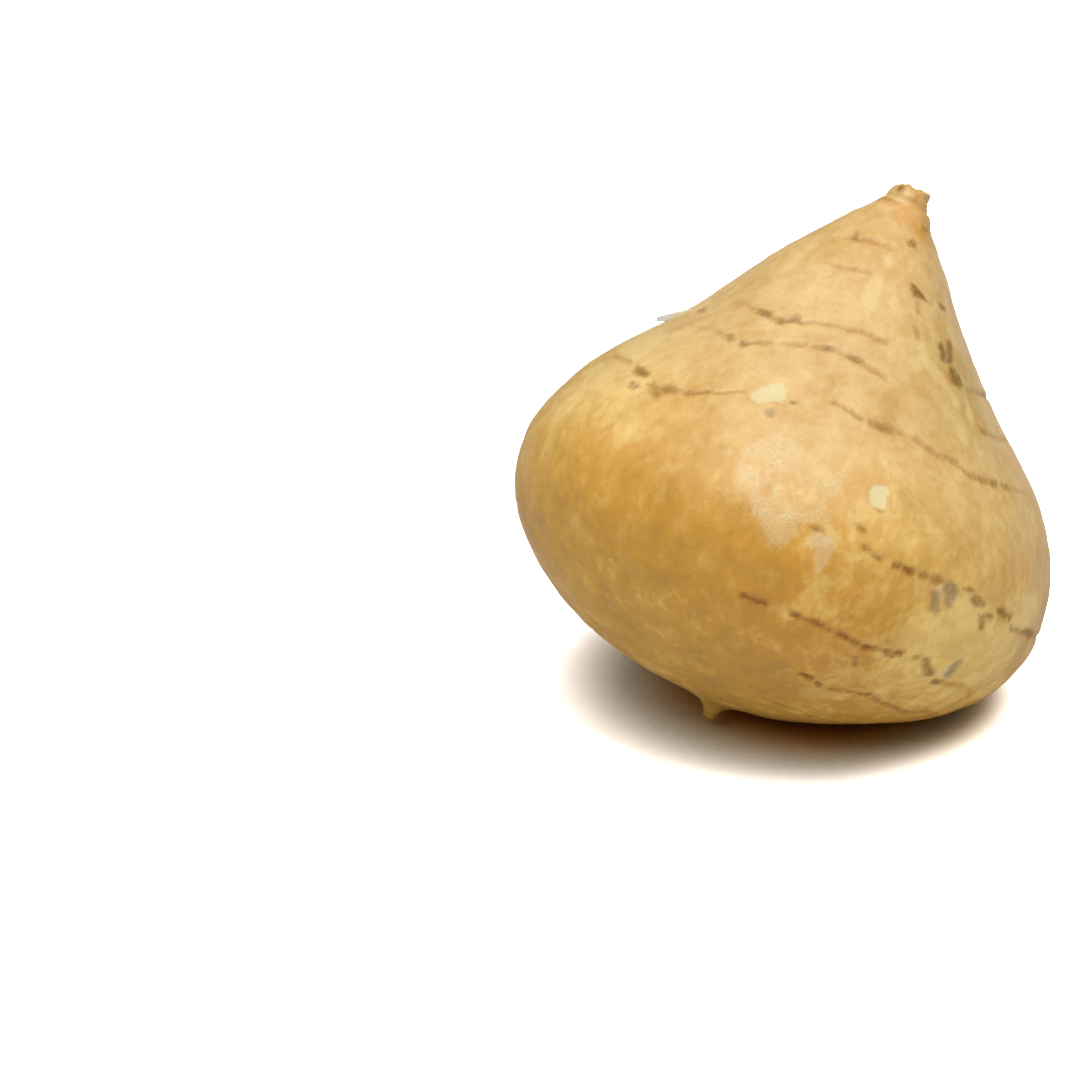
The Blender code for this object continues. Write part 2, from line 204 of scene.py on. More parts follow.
def smoothThrough(points, guide=None, steps=16):
    # Catmull-Rom: half of (2b + (c-a)t + (2a-5b+4c-d)t2 + (3b-a-3c+d)t3) between b and c
    p = np.array(points, float)
    before = 2 * p[0] - p[1] if guide is None else np.array(guide)
    p = np.vstack([before, p, 2 * p[-1] - p[-2]])
    t = np.linspace(0, 1, steps, endpoint=False)[:, None]
    spans = []
    for a, b, c, d in zip(p, p[1:], p[2:], p[3:]):
        spans.append(0.5 * (2 * b + (c - a) * t + (2 * a - 5 * b + 4 * c - d) * t**2
                            + (3 * b - a - 3 * c + d) * t**3))
    return np.vstack(spans + [p[-2][None]])


def skinOutline(shape):
    # (height, radius): taproot curve, then a superellipse (h/a)^n + (r/b)^n = 1, then the flank curve
    power = shape["baseFullness"]
    wide, tall = shape["widestRadius"], shape["widestHeight"]
    start = np.arcsin((shape["taprootFoot"] / wide) ** (power / 2))
    a = np.linspace(start, np.pi / 2, shape["baseSteps"])[:-1]
    base = np.stack([tall * (1 - np.cos(a) ** (2 / power)), wide * np.sin(a) ** (2 / power)], axis=1)
    taproot = smoothThrough(shape["taproot"] + [tuple(base[0])])[:-1]
    shoulderHeight, shoulderRadius = shape["flank"][0]
    mirrored = (2 * tall - shoulderHeight, shoulderRadius)
    flank = smoothThrough([(tall, wide)] + shape["flank"], guide=mirrored)
    cutEnd = [(shape["length"], shape["cutRadius"]), (shape["length"] - shape["cutDish"], 0.0)]
    return np.vstack([[(shape["taprootTip"], 0.0)], taproot, base, flank, cutEnd])


outline = skinOutline(tuberShape)
arcAlong = np.concatenate([[0.0], np.cumsum(np.hypot(*np.diff(outline, axis=0).T))])
bodyRows = slice(int(np.argmax(outline[:, 0] > 0)), len(outline) - 2)


def arcAtHeight(height):
    # The way along the outline at which the skin has this height
    return np.interp(height, outline[bodyRows, 0], arcAlong[bodyRows])


def radiusAtHeight(height):
    # The bare skin's distance from the axis at this height
    return np.interp(height, *outline[bodyRows].T)


def turnFrom(angle, centre):
    # Signed angle from the centre, folded between -180 and 180
    return (angle - centre + 180) % 360 - 180


def wander(points, angle):
    # Eased steps between the set points (angle, rise), closed round the axis
    at, rise = points.T
    at = np.concatenate([at - 360, at, at + 360])
    rise = np.tile(rise, 3)
    i = np.searchsorted(at, angle, side="right") - 1
    return rise[i] + (rise[i + 1] - rise[i]) * eased((angle - at[i]) / (at[i + 1] - at[i]))


def brokenScar(scar):
    # A long scar on the hidden side as dashes, whose lengths, gaps and strengths its ends draw
    first, last, strength, width = scar
    shown = scarDashes["shownSide"]
    if last - first <= scarDashes["longest"] or -shown < first < shown:
        return [scar]
    a, b, c = scarDashes["seed"]
    draw = np.random.default_rng(int(first * a + last * b) + c)
    dashes = []
    while first < last:
        length = draw.uniform(*scarDashes["length"])
        dashes.append((first, min(first + length, last), strength * draw.uniform(*scarDashes["strength"]),
                       width * draw.uniform(*scarDashes["width"])))
        first += length + draw.uniform(*scarDashes["gap"])
    return dashes


# Each ring as its height and wander in metres, and its scars with the long hidden ones broken
rings = []
for ringHeight, ringWander, ringScars in growthRings:
    scars = [dash for scar in np.reshape(ringScars, (-1, 4)) for dash in brokenScar(scar)]
    rings.append((ringHeight * mm, np.reshape(ringWander, (-1, 2)) * [1, mm], scars))


def ringArc(ring, angle):
    # The way along the outline of the ring's line at each angle
    return arcAtHeight(ring[0] + wander(ring[1], angle))


def scarAt(ring, angle, fadeLength):
    # How dark and how thick the ring is at each angle: its strongest scar there, fading at the ends
    spread = np.degrees(fadeLength / radiusAtHeight(ring[0]))
    dark = np.zeros_like(angle)
    thick = np.ones_like(angle)
    for first, last, strength, width in ring[2]:
        inside = (last - first) / 2 - np.abs(turnFrom(angle, (first + last) / 2))
        here = strength * np.clip(inside / spread + 0.5, 0, 1)
        thick = np.where(here > dark, width, thick)
        dark = np.maximum(dark, here)
    return dark, thick


def outward(arc):
    # Unit normal of the outline as (along the axis, away from it): (-dr, dh) / length
    climb, widen = (np.interp(arc, arcAlong, np.gradient(values, arcAlong)) for values in outline.T)
    size = np.hypot(climb, widen)
    return -widen / size, climb / size


def swellPush(angle, height, radius, swells):
    # Sum over the swells of depth * exp(-distance2 / reach2)
    a = np.radians(angle)
    push = np.zeros_like(height)
    for centre, centreHeight, reach, depth in swells:
        c = np.radians(centre)
        r = radiusAtHeight(centreHeight)
        away = (radius * np.sin(a) - r * np.sin(c)) ** 2 + (radius * np.cos(a) - r * np.cos(c)) ** 2
        away += (height - centreHeight) ** 2
        push += depth * np.exp(-away / reach**2)
    return push * fade("swellAxis", radius) * fade("swellTop", height)


def growthPoints(arc, angle, extra=0.0):
    # The skin in the growth frame: radius(arc) * (1 + lobes), pushed out along the outline's normal
    shape = tuberShape
    height, radius = (np.interp(arc, arcAlong, values) for values in outline.T)
    lobes = sum(share * np.cos(n * np.radians(angle - first)) for n, share, first in shape["lobes"])
    along, away = outward(arc)
    push = swellPush(angle, height, radius, shape["swells"]) + extra
    a = np.radians(angle - shape["cutHighSide"])
    rim = fade("cutRim", height) * fade("cutCentre", radius)
    torn = shape["cutTorn"] * rim * (np.cos(a) + 0.5 * np.cos(3 * a))
    r = radius * (1 + lobes * fade("lobeAxis", radius)) + push * away
    a = np.radians(angle)
    x = r * np.sin(a) + shape["stubShift"] * fade("stubShift", height)
    return np.stack([x, -r * np.cos(a), height + push * along + torn], axis=-1)


def leanMatrix():
    # Turn right about Y, then back about X
    a, b = np.radians([tuberShape["leanRight"], tuberShape["leanBack"]])
    right = np.array([[np.cos(a), 0, np.sin(a)], [0, 1, 0], [-np.sin(a), 0, np.cos(a)]])
    back = np.array([[1, 0, 0], [0, np.cos(b), np.sin(b)], [0, -np.sin(b), np.cos(b)]])
    return back @ right


def settler():
    # The shift that puts the bare form in the CAD node's box, found on a plain grid of it
    columns, rows = tuberShape["settleGrid"]
    angle = np.linspace(-180, 180, columns, endpoint=False)
    arc = np.linspace(0, arcAlong[-1], rows)[:, None] + 0 * angle
    bare = growthPoints(arc, np.broadcast_to(angle, arc.shape)).reshape(-1, 3) @ leanMatrix().T
    low, high = (np.array(corner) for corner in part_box("tuber"))
    middle = (bare.min(axis=0) + bare.max(axis=0)) / 2 - (low + high) / 2
    middle[2] = bare[:, 2].min() + tuberShape["flatDepth"] - low[2]
    return middle


restShift = settler()


def settle(points):
    # Leans the points, then flattens what is under the table: 0 below -w, (z+w)2 / 4w between, z above
    w = tuberShape["flatRounding"]
    p = points @ leanMatrix().T - restShift
    z = p[..., 2]
    p[..., 2] = np.where(z <= -w, 0.0, np.where(z >= w, z, (z + w) ** 2 / (4 * w)))
    return p


def ripple(points, wavelength, seed, waves=26):
    # A smooth random field of unit size: waves of about this length in seeded directions, summed
    draw = np.random.default_rng(seed)
    way = draw.normal(size=(waves, 3))
    way /= np.linalg.norm(way, axis=1)[:, None]
    length = wavelength * draw.uniform(*waveSpread, waves)
    phase = draw.uniform(0, 2 * np.pi, waves)
    total = np.zeros(points.shape[:-1])
    for d, l, p in zip(way, length, phase):
        total += np.sin(points @ d * (2 * np.pi / l) + p)
    return total * np.sqrt(2 / waves)


def skinNormal(angle, heightMm):
    # Place, outward normal, and the two directions round and up the skin, at one spot
    arc = float(arcAtHeight(heightMm * mm))
    stepUp, stepRound = 0.4 * mm, 0.4
    here, up, spin = growthPoints(np.array([arc, arc + stepUp, arc]),
                                  np.array([angle, angle, angle + stepRound]))
    up = (up - here) / np.linalg.norm(up - here)
    spin = spin - here
    spin -= up * (spin @ up)
    spin /= np.linalg.norm(spin)
    return here, np.cross(spin, up), spin, up


# Marks on the skin, each an outline of pairs (angle, height in mm)
skinMarks = {
    "peel": [  # outer skin gone, cream beneath
        [-16.1, 63.8, -16.4, 64.8, -15.1, 66.7, -12.7, 68.4, -10.3, 69.4, -8.4, 67.1, -8.4, 65.4,
         -11.3, 64.5, -13.6, 63.2],
        [16.6, 55.3, 19.9, 56.5, 20.9, 55.4, 20.3, 53.9, 20.5, 51.9, 18.1, 51.5, 16.6, 52.8],
    ],
    "pale": [  # cream patches and streaks down the flank
        [5, 55.9, 7.2, 56.3, 8.1, 54.7, 8.9, 52.3, 8.1, 51.8, 6.4, 53, 5.4, 54.4],
        [-1.9, 48.3, -0.6, 49.4, 0.4, 48.1, 0.1, 46.6, -1.1, 46.6, -2.2, 47.5],
        [-0.7, 95.8, 3.8, 100.1, 6.6, 100, 8.5, 95.5, 7, 91, 5.5, 88.8, 0.3, 92.3],
        [4, 104.3, 8.6, 104.8, 10.7, 102, 6.5, 101.7],
        [12.5, 95.2, 16.8, 95.8, 17, 93.1, 13.5, 92.8],
        [27.7, 87.3, 30.2, 87.5, 32.2, 85, 38, 83.3, 43.1, 80.7, 47.2, 78.5, 43.5, 77.4, 39.7, 79.7,
         33, 81.6, 28.1, 83.9],
        [25.1, 82.7, 29.8, 83.4, 29.7, 82, 25.7, 81.2],
        [41.9, 74.5, 45.3, 75, 47.3, 72, 44.8, 70.3, 42.7, 71.3],
        [49.2, 80.7, 51.9, 80.1, 52.7, 75.6, 49.8, 74.6, 48.2, 76.8],
        [49.1, 70.7, 53, 71.3, 52.8, 70.1, 49.4, 69.2],
        [49.7, 59.1, 53.3, 58.3, 55.3, 57.3, 52.7, 56.3, 50, 57.3],
        [46.7, 50.3, 48.2, 50.6, 48.1, 46.6, 46.8, 45.7],
        [45.4, 30, 48.6, 31.3, 52.3, 30.5, 52.9, 28.1, 49, 27.1],
        [24.4, 10.3, 27.1, 11.8, 33.8, 12.4, 35.5, 11.8, 32.1, 9.9, 28.3, 8.5],
        [21.4, 35.5, 22.4, 36.3, 23.6, 35.5, 23.3, 34.1, 22, 33.9],
        [-77.1, 66.2, -78.5, 69.9, -63.7, 72.5, -54.3, 70.8, -51.6, 66, -59.9, 63.2],
        [-65.7, 60.1, -59.2, 59.6, -50.5, 56, -46.1, 52.4, -47.8, 52.5],
        [-78.6, 79.2, -74.9, 83.2, -68.6, 83, -62.6, 81.6, -62.6, 78.1],
        [-26, 119, -12, 119.3, 8, 118.3, 6, 116.9, -14, 116.8, -24, 117.6],
    ],
    "plate": [  # thicker cream-pink skin, finely crackled
        [-10.9, 49.1, -10.4, 50.4, -8.1, 51.1, -6.6, 50.2, -5.4, 48.9, -4.4, 46.6, -4.6, 44.8, -5.6, 44,
         -7, 45.1, -8.6, 44.8, -9.7, 45.4, -10.8, 47.5],
        [-5.6, 44, -4.3, 41.8, -2.3, 40.8, -0.8, 38.8, 1, 37.4, 3.1, 37.1, 4.1, 38.4, 4.4, 39.5, 5.4, 40.8,
         4.2, 43.4, 2.1, 45.8, -1, 46.4, -4.6, 45],
        [-11.5, 53.4, -9.8, 55.9, -6.7, 58.9, -1.9, 58.9, 1.6, 56.5, 1, 54.7, -1.6, 53, -4.8, 52.5,
         -7.1, 51.8, -9.9, 51.6],
    ],
    "blush": [  # paler, pinkish skin
        [-10.9, 49.1, -11.5, 53.4, -9.8, 55.9, -9.1, 58.9, -4.8, 62.4, 1, 63.4, 6.9, 61.8, 10.2, 58.7,
         11.8, 52.8, 11.6, 47.4, 9.2, 44.5, 6.4, 43, 5.4, 40.8, 4.4, 39.2, 3.1, 37.1, 1, 37.4, -0.8, 38.8,
         -2.3, 40.8, -4.3, 41.8, -5.6, 44, -8.6, 44.8, -10.6, 46.9],
    ],
    "scuff": [  # rubbed grey-brown
        [-11.4, 62.5, -10.3, 63.3, -8.6, 63, -9, 61.6, -10.2, 61.6],
        [35.4, 39.4, 35.7, 40.3, 37.3, 39.1, 38.6, 36.8, 39.2, 35.2, 37.9, 35.2, 36.7, 35.5],
        [37.5, 41.7, 38.5, 42.8, 40.6, 42.4, 41.7, 41.2, 41.1, 39.4, 41.6, 37.5, 40.1, 37.3, 38.9, 38.7,
         38.9, 40, 37.6, 40],
        [51.3, 27.9, 53.4, 28, 53.8, 26, 54.8, 23.6, 53.2, 22.8, 51.8, 24.2, 51, 26.2],
        [-45.5, 58.2, -44.5, 59.1, -42, 58.2, -42.7, 57.1, -44.4, 57.1],
        [42.1, 88.7, 44, 88.5, 43.5, 85.7, 41.1, 85.7, 40.5, 86.8],
    ],
    "bleach": [  # whitish skin beside the scuffs
        [35, 40.1, 36.4, 41.3, 37.4, 42.1, 38.2, 40.6, 37.5, 39.4, 36.2, 39.7],
        [37.5, 39.2, 38.7, 39.5, 39.5, 38.1, 38.5, 37.7],
        [50, 24.8, 49.8, 26, 50.8, 26.3, 52.2, 24.5, 51.9, 23.4, 50.7, 23.2],
        [7.6, 42.4, 8.8, 43.2, 10.4, 42.4, 12.4, 42.4, 13.4, 40.5, 12.7, 38.1, 12.4, 35.7, 12.1, 34.3,
         11.1, 34.6, 10.4, 36.7, 9.4, 38.6, 7.8, 39.6],
    ],
    "stain": [  # orange-brown skin
        [38, 83.3, 42.4, 83.6, 42.2, 80.9, 39, 80, 36.6, 81.5],
        [11.4, 63.3, 13.7, 64.3, 14.5, 63, 12.2, 62.1],
        [13, 61.9, 14.4, 62.1, 14.4, 61.1, 13.3, 60.8],
        [69.6, 57.9, 74.1, 58.1, 74.9, 55.2, 71.8, 51.2, 68.6, 51.9, 68.2, 55],
        [54.8, 51.7, 57.2, 52.1, 58.1, 46.5, 56, 46.8],
        [59.5, 53.3, 63.7, 53.1, 63.9, 47.5, 60, 47.9],
        [29, 42, 32, 42.4, 32.2, 40.8, 29.6, 40.6],
        [12, 120.4, 70, 120.4, 100, 118, 80, 115.6, 16, 114.2, 9, 117],
        [14, 120.2, 68, 120.3, 96, 118, 70, 116.2, 18, 116, 11, 118],
        [-81, 115.1, -62.6, 116.4, -22.4, 116.5, 9.9, 116.4, 10.1, 115.3, -17.1, 114.9, -47.4, 114.7],
        [-8, 115.8, 16, 115.8, 34, 112.2, 8, 111.2, -10, 113],
    ],
    "smudge": [  # soft brown, where a ring line thickens
        [28.2, 96.3, 30, 96.5, 29.7, 93.5, 28.1, 93.3],
        [46, 113, 56, 113.4, 66, 113.1, 65, 112.5, 55, 112.2, 45.5, 112.4],
        [25.7, 90.7, 27.1, 90.9, 28.4, 88.4, 27.1, 88.2],
        [-49.3, 61.8, -46.8, 62.5, -43.5, 61.8, -43.1, 60.5, -45.3, 60, -48.7, 60.9],
        [-41, 59.5, -38, 58.9, -35.7, 58.7, -35, 57.9, -35.9, 56.9, -38.5, 57.8],
        [-37.1, 59.9, -36.1, 61.1, -33.9, 60.9, -31.9, 60.6, -32.8, 59.4, -35, 58.5],
        [-35.6, 83.1, -32, 83.4, -29, 83.2, -29.5, 82, -33, 81.8],
        [-25.8, 82.3, -24.1, 82.7, -21.8, 82.1, -22.3, 81.1, -24.5, 81],
        [-22.7, 83.4, -21.8, 84.7, -18.7, 84.3, -17, 83.1, -21.2, 82.3],
        [-29.6, 74.8, -28.4, 75.3, -26.8, 75, -26.7, 73.8, -28.5, 73.6],
        [3.4, 79.5, 5.5, 79.8, 7.8, 79.3, 6.8, 78.9, 4.6, 78.8],
        [-70, 115.9, -40, 116.3, -12, 116.2, -12, 115.8, -40, 115.7, -70, 115.4],
        [-5.6, 79.9, -3.5, 80.4, -2.4, 79.7, -4.6, 78.9],
        [-36, 75.2, -34.3, 76, -32, 74.8, -32.8, 73.8, -35, 74.2],
        [-63.1, 79.2, -62.2, 80.2, -59.6, 80.1, -56.9, 78.9, -59.8, 78.3],
        [-28.2, 105.8, -26.4, 106.5, -21.9, 105.5, -20.8, 104.3, -24.3, 104.1],
    ],
    "scab": [  # dark brown, corky
        [7, 43.1, 7.6, 43.8, 8.7, 43.6, 9.9, 43.3, 8.4, 42.6],
        [15.3, 47.3, 16, 47, 17.9, 46.5, 17.7, 45.7, 16, 45.9],
        [42.2, 42.3, 43.6, 43.2, 45.6, 42.9, 45.6, 42.4, 43.8, 41.8],
        [45, 41.2, 46.5, 42.1, 48.5, 41.5, 50, 40.3, 48.6, 40, 47, 39.4, 45.5, 40.1],
        [48.6, 38.2, 50.3, 38.4, 52.6, 36, 51.1, 35.1],
        [50, 39.2, 53.4, 39.5, 53.6, 38.4, 50.6, 37.8],
        [42.5, 25.5, 43.9, 26.3, 46.6, 24.6, 48.7, 23.9, 49.4, 22.7, 46.9, 22, 44.9, 23.3],
        [50.5, 22.3, 53.5, 22.4, 53.3, 21.4, 51, 21.2],
        [27.4, 21.2, 28.3, 21.5, 29.3, 20.5, 30.1, 19, 29.2, 19],
        [33.3, 24, 36, 24.1, 36.3, 23.5, 33.8, 23.3],
        [-6.8, 66.3, -5.2, 66.6, -5, 66, -6.5, 65.5],
        [18.2, 51.4, 19.7, 51.5, 20.8, 51.6, 19.9, 50.7, 18.5, 50.8],
        [21.8, 108.9, 26.9, 109.6, 31.8, 108.9, 30.2, 107.9, 24.6, 107.6, 21.2, 108.1],
        [25.4, 100.2, 27.9, 100.1, 32.1, 99, 36, 98.2, 36, 97.2, 31.7, 97.4, 26.4, 97, 24.3, 98.3],
        [47.7, 98.3, 50.8, 98.6, 55.9, 98.4, 53.3, 97.3, 47, 97.1],
        [38.3, 89, 41.4, 89.7, 42.5, 88.3, 40.3, 85.8, 38.9, 85.8, 38.3, 87.3],
        [44.6, 90.4, 49.6, 91.3, 48.9, 89.2, 45.9, 86.5, 43.5, 85.6, 43.5, 88.1],
        [43, 85.4, 45.7, 85.4, 48.9, 84.2, 50.1, 82.5, 46.9, 81.6, 42.9, 81.9, 41.8, 83.1],
        [-44, 119.4, -30, 119.9, -15, 119.3, -14, 118.2, -30, 117.9, -42, 118.4],
        [104, 36, 106.5, 37.5, 108, 34.8, 105.5, 33.6],
    ],
}

# Soft zones of the skin: (angle, height in mm, reach in mm, how much)
skinZones = {
    "tone": [  # up is paler, down is deeper
        (-53, 63, 14, 0.8), (-47, 54, 11, 0.5), (46, 29, 11, 1.0), (57, 32, 9, 1.2), (68, 28, 9, 1.4),
        (62, 19, 8, 0.6), (46, 12, 10, 0.3), (26, 48, 7, 0.1), (-12, 50, 9, 0.1), (44, 86, 8, -0.5),
        (-12, 74, 7, -0.5), (11, 65, 7, -0.45), (22, 74, 8, -0.35), (22, 67, 8, -0.3), (43, 73, 8, -0.3),
        (39, 103, 6, -0.4), (-1, 41, 6, -0.3), (-24, 50, 9, -0.4), (8, 22, 13, -0.25), (10, 9, 12, -0.6),
        (46, 116.5, 5, -0.6), (-40, 30, 25, -0.3), (-100, 60, 18, 0.5), (170, 40, 20, 0.5),
        (-160, 90, 12, -0.5), (120, 80, 14, 0.5), (-130, 25, 20, -0.4), (140, 15, 18, 0.3)],
    "warm": [  # up is more orange, down is more olive; the first two, low on the front and left, are partly the skin's own orange and partly painted shade and reflected warm light
        (7, 30, 20, 1.1), (-30, 33, 22, 0.55), (22, 12, 18, 0.75), (-4, 106, 10, 0.4), (0, 118, 6, 0.4),
        (52, 117, 5, 0.6), (62, 55, 20, -0.2), (68, 28, 12, 0.5), (58, 18, 10, 0.7), (-72, 60, 16, -0.5),
        (45, 84, 12, -0.7), (-18, 55, 8, -0.2), (160, 60, 22, 0.5), (-140, 80, 18, -0.4)],
    "flecked": [  # where the pale flecks are strong
        (12, 45, 14, 0.7), (30, 50, 20, 0.8), (27, 17, 14, 1.4), (34, 26, 9, 0.6), (-4, 48, 12, 0.9),
        (-50, 58, 10, 0.7), (-30, 45, 12, 0.4), (45, 88, 12, 0.6), (60, 40, 18, 0.6), (150, 45, 28, 0.9),
        (-140, 50, 26, 0.8), (-100, 30, 20, 0.6), (110, 25, 20, 0.7)],
}
zoneBend = {"reach": 0.003, "wavelength": 0.020, "seeds": (41, 42, 43), "waves": 12}

# Marks on the side that the photograph hides: angle, height, half their width in degrees and half their
# height, in mm
hiddenMarks = {
    "peel": [(121, 60.4, 3, 2.8), (-144.2, 71.8, 3.5, 2.2), (-93.9, 31.8, 2, 2.2)],
    "pale": [(-167.2, 65, 4.5, 6), (165, 88.1, 3, 4.8), (135.2, 61.2, 5.5, 6.5), (-113.5, 89, 6, 8)],
    "plate": [(-138.5, 57.5, 7.5, 7), (121.8, 42.8, 7, 5)],
    "blush": [(-138.7, 56, 11, 10), (122.8, 43.4, 10, 8)],
    "scuff": [(152, 51.2, 4, 3.5), (-124.6, 39, 3.5, 3), (-162.8, 82.6, 5, 3.2)],
    "bleach": [(153.8, 46.8, 4, 3.2)],
    "stain": [(-98.8, 63.5, 5, 5), (179, 29, 7, 5)],
    "scab": [(138.4, 76, 3.5, 2.1), (-148.2, 51.1, 2.8, 2.2), (170.8, 25.6, 3, 2.2), (-104, 76.6, 4, 2.8)],
}


def blotch(angle, height, wide, tall, corners=13, askew=0.18, nearest=0.55, furthest=1.2):
    # An uneven round outline: corners at (wide cos a, tall sin a) times a reach that the place draws
    draw = np.random.default_rng(int(abs(angle) * 31 + height * 17))
    a = np.linspace(0, 2 * np.pi, corners, endpoint=False) + draw.uniform(-askew, askew, corners)
    reach = draw.uniform(nearest, furthest, corners)
    return np.stack([angle + wide * reach * np.cos(a), height + tall * reach * np.sin(a)], axis=1)


for kind, places in hiddenMarks.items():
    skinMarks[kind] += [blotch(*place) for place in places]


def spotsAt(angle, heightMm):
    # Places on the smooth skin
    return growthPoints(arcAtHeight(np.array(heightMm) * mm), np.array(angle))


def insideOf(corners, flat):
    # Signed distance to a polygon in its plane, positive inside
    distance = np.full(len(flat), 1e9)
    crossed = np.zeros(len(flat), bool)
    for a, b in zip(corners, np.roll(corners, -1, axis=0)):
        edge = b - a
        t = np.clip(((flat - a) @ edge) / (edge @ edge), 0, 1)
        distance = np.minimum(distance, np.linalg.norm(flat - a - t[:, None] * edge, axis=1))
        spans = (a[1] > flat[:, 1]) != (b[1] > flat[:, 1])
        rise = edge[1] if abs(edge[1]) > 1e-12 else 1e-12
        crossed ^= spans & (flat[:, 0] < a[0] + (flat[:, 1] - a[1]) * edge[0] / rise)
    return np.where(crossed, distance, -distance)


def markField(outlines, points, reach=0.004):
    # For every point, how many mm it lies inside the nearest of the marks, minus the reach where it is far
    field = np.full(len(points), -reach)
    for corners in outlines:
        angle, height = np.reshape(corners, (-1, 2)).T
        places = spotsAt(angle, height)
        centre = places.mean(axis=0)
        axes = np.stack(skinNormal(angle.mean(), height.mean())[2:], axis=1)
        size = np.linalg.norm(places - centre, axis=1).max()
        near = np.linalg.norm(points - centre, axis=1) < size + reach
        inside = insideOf((places - centre) @ axes, (points[near] - centre) @ axes)
        field[near] = np.maximum(field[near], inside)
    return field / mm


def zoneField(zones, points):
    # Sum of amount * exp(-distance2 / reach2), the distances bent by slow ripples
    ripples = [ripple(points, zoneBend["wavelength"], seed, zoneBend["waves"]) for seed in zoneBend["seeds"]]
    bent = points + zoneBend["reach"] * np.stack(ripples, axis=-1)
    field = np.zeros(len(points))
    for angle, height, reach, amount in zones:
        away = ((bent - spotsAt(angle, height)) ** 2).sum(axis=1)
        field += amount * np.exp(-away / (reach * mm) ** 2)
    return field


def columnAngles(count):
    # Angles round the axis, packed closer on the side that is shown: equal shares of the density's sum
    fine = np.linspace(-180, 180, 3601)  # every tenth of a degree
    evenness, middle, halfWidth = skinGrid["columnCrowding"]
    density = evenness + bell(fine - middle, halfWidth, 4)
    total = np.concatenate([[0.0], np.cumsum((density[1:] + density[:-1]) / 2)])
    return np.interp(np.arange(count) * total[-1] / count, total, fine)


def rowArcs(angle):
    # Rows of the fine grid: they follow the rings, with even spacing between them
    grid = skinGrid
    taproot = np.arange(arcAlong[1], arcAlong[bodyRows.start], grid["taprootRows"])
    rows = [np.full_like(angle, a) for a in taproot]
    for ring in rings:
        line = ringArc(ring, angle)
        below = rows[-1]
        gap = line + grid["ringRows"][0] - below
        count = max(1, round(float(gap.mean()) / grid["rowSpacing"]))
        rows += [below + gap * k / count for k in range(1, count)]
        rows += [line + offset for offset in grid["ringRows"]]
    below = rows[-1]
    neck = float(arcAtHeight(grid["stubFrom"]))
    count = round((neck - float(below.mean())) / grid["rowSpacing"])
    rows += [below + (neck - below) * k / count for k in range(1, count)]
    stub = np.arange(neck, arcAlong[-1] - grid["stubRows"] / 2, grid["stubRows"])
    return np.array(rows + [np.full_like(angle, a) for a in stub])


def nearestRing(arc, angle):
    # Way to the nearest ring, how dark and thick that is, and the crease and lip of all of them
    grid = skinGrid
    lipAbove, lipWidth = grid["lipPlace"]
    offset = np.full(arc.shape, 1.0)
    dark, thick, crease = np.zeros(arc.shape), np.ones(arc.shape), np.zeros(arc.shape)
    for ring in rings:
        away = arc - ringArc(ring, angle)
        strength, width = scarAt(ring, angle, grid["lineFade"])
        closer = np.abs(away) < np.abs(offset)
        offset = np.where(closer, away, offset)
        dark = np.where(closer, strength * bell(away, grid["lineReach"], 4), dark)
        thick = np.where(closer, width, thick)
        depth = scarAt(ring, angle, grid["creaseFade"])[0]
        crease -= grid["creaseDepth"] * depth * bell(away, grid["creaseWidth"])
        crease += grid["lipHeight"] * depth * bell(away - lipAbove, lipWidth)
    return offset, dark, thick, crease


def wave(name, points):
    # height * ripple of the points, squeezed along the axis so that the wave is drawn out there
    height, wavelength, seed, squeezed = skinWaves[name]
    return height * ripple(points * np.array([1, 1, squeezed]), wavelength, seed)


def skinRelief(bare, height):
    # Slow ripples over the body, calmer towards the crown, and torn lumps on the stub
    body = eased(fade("waveFoot", height)) * eased(fade("waveTop", height))
    calm = 1 - tuberShape["crownCalm"] * eased(fade("calm", height))
    crown = eased(fade("crownFoot", height)) * eased(fade("crownTop", height))
    relief = calm * (wave("slow", bare) + wave("medium", bare)) + wave("short", bare)
    relief += crown * wave("crown", bare)
    depth, finer = tuberShape["stubTorn"]
    torn = 0.5 - np.abs(wave("torn", bare)) + finer * (0.5 - np.abs(wave("splinter", bare)))
    return relief * body + eased(fade("torn", height)) * depth * torn


def stubShape(turn, height):
    # Fills the pinch under the stub, trims its right rim, and narrows and lifts the left of the cut
    left, right, reach = tuberShape["stubSides"]
    sides = {"left": (1 + np.cos(np.radians(turn - left))) / 2,
             "right": eased(1 - np.abs(turnFrom(turn, right)) / reach)}
    push = sum(depth * sides[side] * bell(height - middle, reach)
               for side, depth, middle, reach in tuberShape["stubBulges"])
    lift = tuberShape["stubLift"] * sides["left"] * eased(fade("lift", height))
    return push, lift, tuberShape["stubNarrow"] * sides["left"] * eased(fade("narrow", height))


